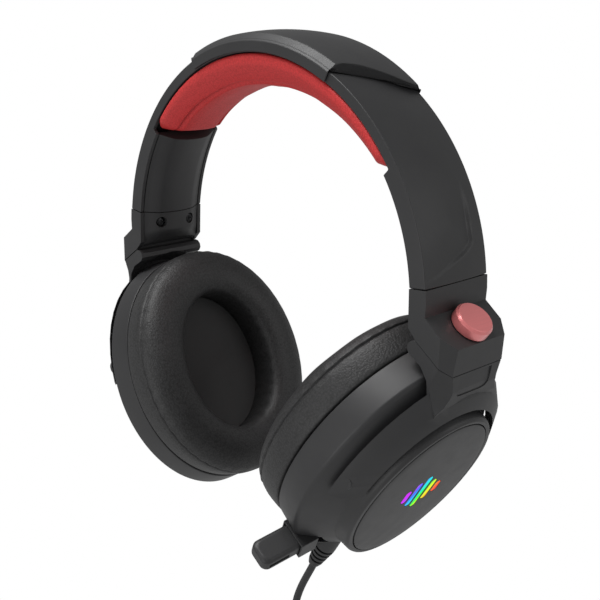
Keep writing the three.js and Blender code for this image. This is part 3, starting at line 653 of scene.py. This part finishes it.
def build_cup_plate(side):
    place = cup_matrix(side)
    dome = [(47.25 + 0.9 * (1 - (k / 12) ** 2), 27.9 * k / 12, 36.8 * k / 12) for k in range(12, 0, -1)]
    levels = [(45.3, 28.3, 37.2), (46.9, 28.3, 37.2), (47.15, 28.2, 37.1), *dome, (48.15, 0.5, 0.6)]
    plate = loft(f"{side}_face", [oval(level) for level in levels], place)
    carve(plate, [bar_body("cut", bar, 0.25, 44, 50, place) for bar in BARS])
    shade(plate, 30)
    finish_piece(plate, f"{side}_cup", "black_plastic", f"{side}_cup_plate")
    bars = [bar_body(f"{side}_bar", bar, 0.0, 44.6, 48.0, place) for bar in BARS]
    bars.append(block(f"{side}_bar", (43.8, -10.5, -11), (44.8, 10.5, 11), place))
    main = join(bars, f"{side}_meter")
    shade(main, 30)
    finish_piece(main, f"{side}_cup", "light", f"{side}_emblem")


# The cushion's section from its back edge round the outside, the crest and the opening:
# outward position, then half width and half height.
CUSHION = [(17.9, 43.2, 50.9), (17.0, 44.2, 51.9), (13, 44.7, 52.4), (9.5, 44.8, 52.5), (7.2, 44.5, 52.2),
           (5.2, 44.2, 51.9), (2.6, 42.8, 50.5), (0.4, 40.0, 47.6), (-1.1, 36.4, 43.9), (-1.6, 33.0, 40.4),
           (-1.2, 29.4, 36.8), (0.2, 26.4, 33.7), (2.4, 24.7, 32.0), (6, 24.2, 31.5), (12, 24.7, 32.0),
           (17.4, 25.4, 32.7)]

CUSHION_SEAM = 6.4


def build_cushion(side):
    """A filled ring with a pinched seam, gathers beside it, folds inside and an uneven crest."""
    place = cup_matrix(side)
    rings = []
    for level in spline(CUSHION, 8):
        ring = []
        for i, (t, y, z) in enumerate(oval(level, 240)):
            outside = level[1] > 40
            seam = math.exp(-((t - CUSHION_SEAM) / 0.45) ** 2) * (0.75 if outside else 0)
            turn = 2 * math.pi * i / 240
            near_seam = math.exp(-((t - CUSHION_SEAM + 0.8) / 2.4) ** 2) * outside
            gather = math.sin(turn * 46 + 0.8 * math.sin(turn * 7)) * near_seam
            fold = math.sin(turn * 31 + 1.3 * math.sin(turn * 5)) * (not outside) * smooth(t, 0, 4)
            inward = Vector((0, y, z)).normalized() * (seam + 0.16 * gather - 0.14 * fold)
            wave = (0.3 * math.sin(5 * turn + 0.7) + 0.12 * math.sin(13 * turn)) * smooth(t, 3, -1.5)
            ring.append((t - wave, y - inward.y, z - inward.z))
        rings.append(ring)
    cushion = loft(f"{side}_ear_pad", rings, place, closed=True)
    shade(cushion, 60)
    finish_piece(cushion, f"{side}_cup", "leatherette", f"{side}_ear_cushion")


def build_scrim(side):
    dome = [(16.6 + 1.0 * (1 - (k / 8) ** 2), 25 * k / 8, 32.3 * k / 8) for k in range(7, 0, -1)]
    levels = [(17.4, 25.0, 32.3), (16.6, 25.0, 32.3), *dome]
    scrim = loft(f"{side}_screen", [oval(level) for level in levels], cup_matrix(side))
    shade(scrim, 40)
    finish_piece(scrim, f"{side}_cup", "cloth", f"{side}_scrim")


def mic_outline(inset):
    """The microphone bar's outline, drawn in by inset, with rounded corners at its tip."""
    half, radius = 5.5 - inset, 3
    corner = [(half - radius * (1 - math.cos(a)), 15 - inset + radius * math.sin(a))
              for a in steps(0, math.pi / 2, 8)]
    return [(half, -4), *corner, *[(-x, y) for x, y in reversed(corner)], (-half, -4)]


def build_mic_bar():
    mic = mic_matrix()
    edge = 1.8
    rings = []
    for turn in steps(0, math.pi, 16):
        z = -1.7 * (1 if turn < math.pi / 2 else -1) - edge * math.cos(turn)
        rings.append([(x, y, z) for x, y in mic_outline(edge * (1 - math.sin(turn)))])
    head = loft("mic_bar", rings, mic)
    carve(head, [block("cut", (5.0, 6.5, -1.3), (6.5, 15.5, 0.9), mic)])
    soften(head, 0.2, 40, 2)
    finish_piece(head, "microphone", "black_plastic", "mic_head")


def build_thumb_wheel():
    x, y, z = WHEEL_AT
    rings = []
    for out, bevel in ((-1.7, 0.4), (-1.4, 0), (1.4, 0), (1.7, 0.4)):
        ring = []
        for i in range(90):
            radius = 9 - bevel - (0.25 if i % 2 else 0)
            turn = i * math.pi / 45
            ring.append((x + out, y + radius * math.cos(turn), z + radius * math.sin(turn)))
        rings.append(ring)
    knurled = loft("thumb_wheel", rings, cup_matrix("left"))
    shade(knurled, 20)
    finish_piece(knurled, "volume_wheel", "black_plastic", "volume_wheel")


def build_bend_relief():
    """The ribbed rubber sleeve that the cable leaves by. It starts inside the shell."""
    profile = [(0, -5), (4.5, -5), (4.5, 4.0)]
    for k in range(4):
        at = 4.6 + 2.8 * k
        r = lerp(4.5, 3.3, k / 3)
        groove = r - 1.1
        profile += [(r, at), (groove, at + 0.1), (groove, at + 1.1), (r - 0.05, at + 1.2), (r - 0.2, at + 2.6)]
    profile += [(2.8, 16.6), (2.4, 17.9), (0, 17.9)]
    relief = lathe("bend_relief", profile, (*RELIEF_AT, -42.4), (0, 0, -1), cup_matrix("left"))
    shade(relief, 35)
    finish_piece(relief, "left_cup", "cable_rubber", "strain_relief")


# Cable, in millimetres in the frame of the whole headset. The first points are the CAD's route.

ROUTE = [(35.6, -15, -67.8), (32.9, -15, -73.1), (30.2, -15, -78.4), (27.7, -15, -83.8), (25.7, -15, -89.4),
         (24.3, -15, -95.2), (23.4, -15, -101.1), (23, -15, -107), (23, -15, -112), (22.8, -15, -117.9),
         (20.9, -15, -122.2)]
COIL_AT = (13, -148.3)
# Each layer of the coil, from the outside in: radius, turns, and the y it starts and ends at.
LAYERS = [(22.3, 2, -15.0, -21.8), (19.1, 5, -21.8, -4.9), (15.9, 5, -4.9, -21.8), (12.7, 5, -21.8, -4.9)]


def coil_points():
    """The coil's turns, layer inside layer, stepping inward at the start of each."""
    points = []
    angle = 92.0
    for layer, (radius, turns, y0, y1) in enumerate(LAYERS):
        last = layer == len(LAYERS) - 1
        sweep = 360.0 * turns + (180 - 92 if last else 0)
        count = int(sweep / 12)
        before = radius if layer == 0 else LAYERS[layer - 1][0]
        for k in range(count):
            turned = sweep * k / count
            r = lerp(before, radius, smooth(turned, 0, 170))
            y = lerp(y0, y1, smooth(turned, 0, sweep) if last else max(0.0, turned - 120) / (sweep - 120))
            a = math.radians(angle + turned)
            points.append((COIL_AT[0] + r * math.cos(a), y, COIL_AT[1] + r * math.sin(a)))
        angle += sweep
    return points


def build_cable():
    tail = [(0.3, -5.0, z) for z in (-149.5, -153, -157, -161, -165, -169, -172.3)]
    line = spline(ROUTE, 3) + coil_points() + tail
    curve = bpy.data.curves.new("usb_cable", "CURVE")
    curve.dimensions = "3D"
    curve.bevel_depth = 1.6 * MM
    curve.bevel_resolution = 5
    curve.use_fill_caps = True
    poly = curve.splines.new("POLY")
    poly.points.add(len(line) - 1)
    for point, place in zip(poly.points, line):
        point.co = (*(c * MM for c in place), 1)
    poly.use_smooth = True
    cable = bpy.data.objects.new("usb_cable", curve)
    bpy.context.scene.collection.objects.link(cable)
    finish_piece(cable, "left_cup", "cable_rubber", "cable", "cable_coil")


# CAD nodes that are shown as they are, with rounded edges.


def panel_cutter(side):
    """The shallow panel in the outer face of a yoke's stem, just below the swivel joint."""
    rows = [(50.1, -6, 4), (50.3, -8.5, 5.8), (50.7, -9.3, 6.8), (51.4, -9.7, 7.5), (52.5, -9.7, 8.1),
            (55, -9.6, 8.5), (57.8, -9.5, 8.6)]
    depth = 0.35
    rings = []
    for u, y0, y1 in rows:
        face = table_at([(47, 44.6), (52, 43.8), (58, 41.3), (60, 40.5)], u)
        floor = face - depth
        rings.append([(floor, y0, u), (floor, y1, u), (face + 4, y1, u), (face + 4, y0, u)])
    return loft(f"{side}_panel_cut", rings, stem_matrix(side))


def dress_cad():
    slots = {part["node"]: part["material_slot"] for part in frame["record"]["subparts"]}
    for name, node in frame["nodes"].items():
        if node.hide_render:
            continue
        node.data.materials.clear()
        node.data.materials.append(MATERIALS[slots[name]])
        if "custom_normal" in node.data.attributes:
            node.data.attributes.remove(node.data.attributes["custom_normal"])
        node.data.shade_smooth()
        add_modifier(node, "WELD", merge_threshold=2e-6)
        if name.endswith("_yoke"):
            cutter = panel_cutter(name.split("_")[0])
            cutter.hide_render = cutter.hide_viewport = True
            add_modifier(node, "BOOLEAN", operation="DIFFERENCE", object=cutter, solver="EXACT")
        width = 0.5 if name.endswith(("_yoke", "_arm_cover")) else 0.8 if name == "mic_boom" else 0.25
        soften(node, width, 28)


# Stage, light and camera.


def glowing(name, color, strength):
    """A material that only gives off light."""
    material = bpy.data.materials.new(name)
    material.use_nodes = True
    nodes = material.node_tree.nodes
    nodes.remove(nodes["Principled BSDF"])
    light = nodes.new("ShaderNodeEmission")
    light.inputs["Color"].default_value = (*color, 1)
    light.inputs["Strength"].default_value = strength
    material.node_tree.links.new(light.outputs[0], nodes["Material Output"].inputs[0])
    return material


def build_stage():
    """A plain white surround that only the camera sees. The light comes from the world and the lamps."""
    backdrop = block("backdrop", (-4000, -4000, -3000), (4000, 4000, 4000))
    backdrop.data.materials.append(glowing("backdrop", (1, 1, 1), 1.0))
    backdrop.visible_diffuse = backdrop.visible_glossy = backdrop.visible_shadow = False


def area_light(name, at, size, watts):
    light = bpy.data.lights.new(name, "AREA")
    light.shape = "DISK"
    light.size = size
    light.energy = watts
    obj = bpy.data.objects.new(name, light)
    obj.location = at
    obj.rotation_euler = (Vector((0.02, 0, 0.03)) - Vector(at)).to_track_quat("-Z", "Y").to_euler()
    bpy.context.scene.collection.objects.link(obj)


def build_light():
    """A white world, brighter from below as over a white floor, and three soft lamps."""
    scene = bpy.context.scene
    world = bpy.data.worlds.new("studio")
    world.use_nodes = True
    nodes, links = world.node_tree.nodes, world.node_tree.links
    nodes["Background"].inputs["Color"].default_value = (1, 1, 1, 1)
    place = nodes.new("ShaderNodeTexCoord")
    split = nodes.new("ShaderNodeSeparateXYZ")
    grade = nodes.new("ShaderNodeMapRange")
    for socket, value in (("From Min", -0.7), ("From Max", 0.4), ("To Min", 0.66), ("To Max", 0.29)):
        grade.inputs[socket].default_value = value
    links.new(place.outputs["Generated"], split.inputs[0])
    links.new(split.outputs["Z"], grade.inputs["Value"])
    links.new(grade.outputs["Result"], nodes["Background"].inputs["Strength"])
    scene.world = world
    scene.view_settings.view_transform = "Standard"
    area_light("key", (-0.3, -0.4, 1.15), 0.7, 14)
    area_light("side", (0.9, 0.35, 0.5), 0.8, 2)
    area_light("low", (0.1, -1.0, 0.0), 0.7, 2.5)


CAMERA_AT = (0.28742, -0.26382, 0.15375)  # metres
CAMERA_RIGHT = (0.6833, 0.7300, 0.0166)
CAMERA_UP = (-0.2234, 0.1873, 0.9566)
CAMERA_BACK = (0.6952, -0.6573, 0.2910)


def build_camera():
    """In front of the headset, on the wearer's left and a little above."""
    camera = bpy.data.cameras.new("camera")
    camera.lens = 58.25
    camera.sensor_width = 36
    camera.clip_end = 20
    obj = bpy.data.objects.new("camera", camera)
    turn = Matrix((CAMERA_RIGHT, CAMERA_UP, CAMERA_BACK)).transposed().to_4x4()
    obj.matrix_world = Matrix.Translation(CAMERA_AT) @ turn
    bpy.context.scene.collection.objects.link(obj)
    bpy.context.scene.camera = obj


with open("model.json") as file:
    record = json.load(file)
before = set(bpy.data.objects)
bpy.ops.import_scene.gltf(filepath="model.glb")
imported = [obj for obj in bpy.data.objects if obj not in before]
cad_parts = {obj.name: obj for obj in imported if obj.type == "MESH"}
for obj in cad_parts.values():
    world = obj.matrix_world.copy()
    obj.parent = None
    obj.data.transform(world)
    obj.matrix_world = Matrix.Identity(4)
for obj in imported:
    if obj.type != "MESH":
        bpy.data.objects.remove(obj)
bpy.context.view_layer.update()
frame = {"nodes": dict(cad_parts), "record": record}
build_camera()
build_stage()
build_light()
build_band_shell()
build_crown_cover()
build_head_pad()
build_liners()
build_arms()
build_swivel_caps()
for name in SIDES:
    build_cup_shell(name)
    build_cup_plate(name)
    build_cushion(name)
    build_scrim(name)
build_mic_bar()
build_thumb_wheel()
build_bend_relief()
build_cable()
dress_cad()
bpy.context.view_layer.update()
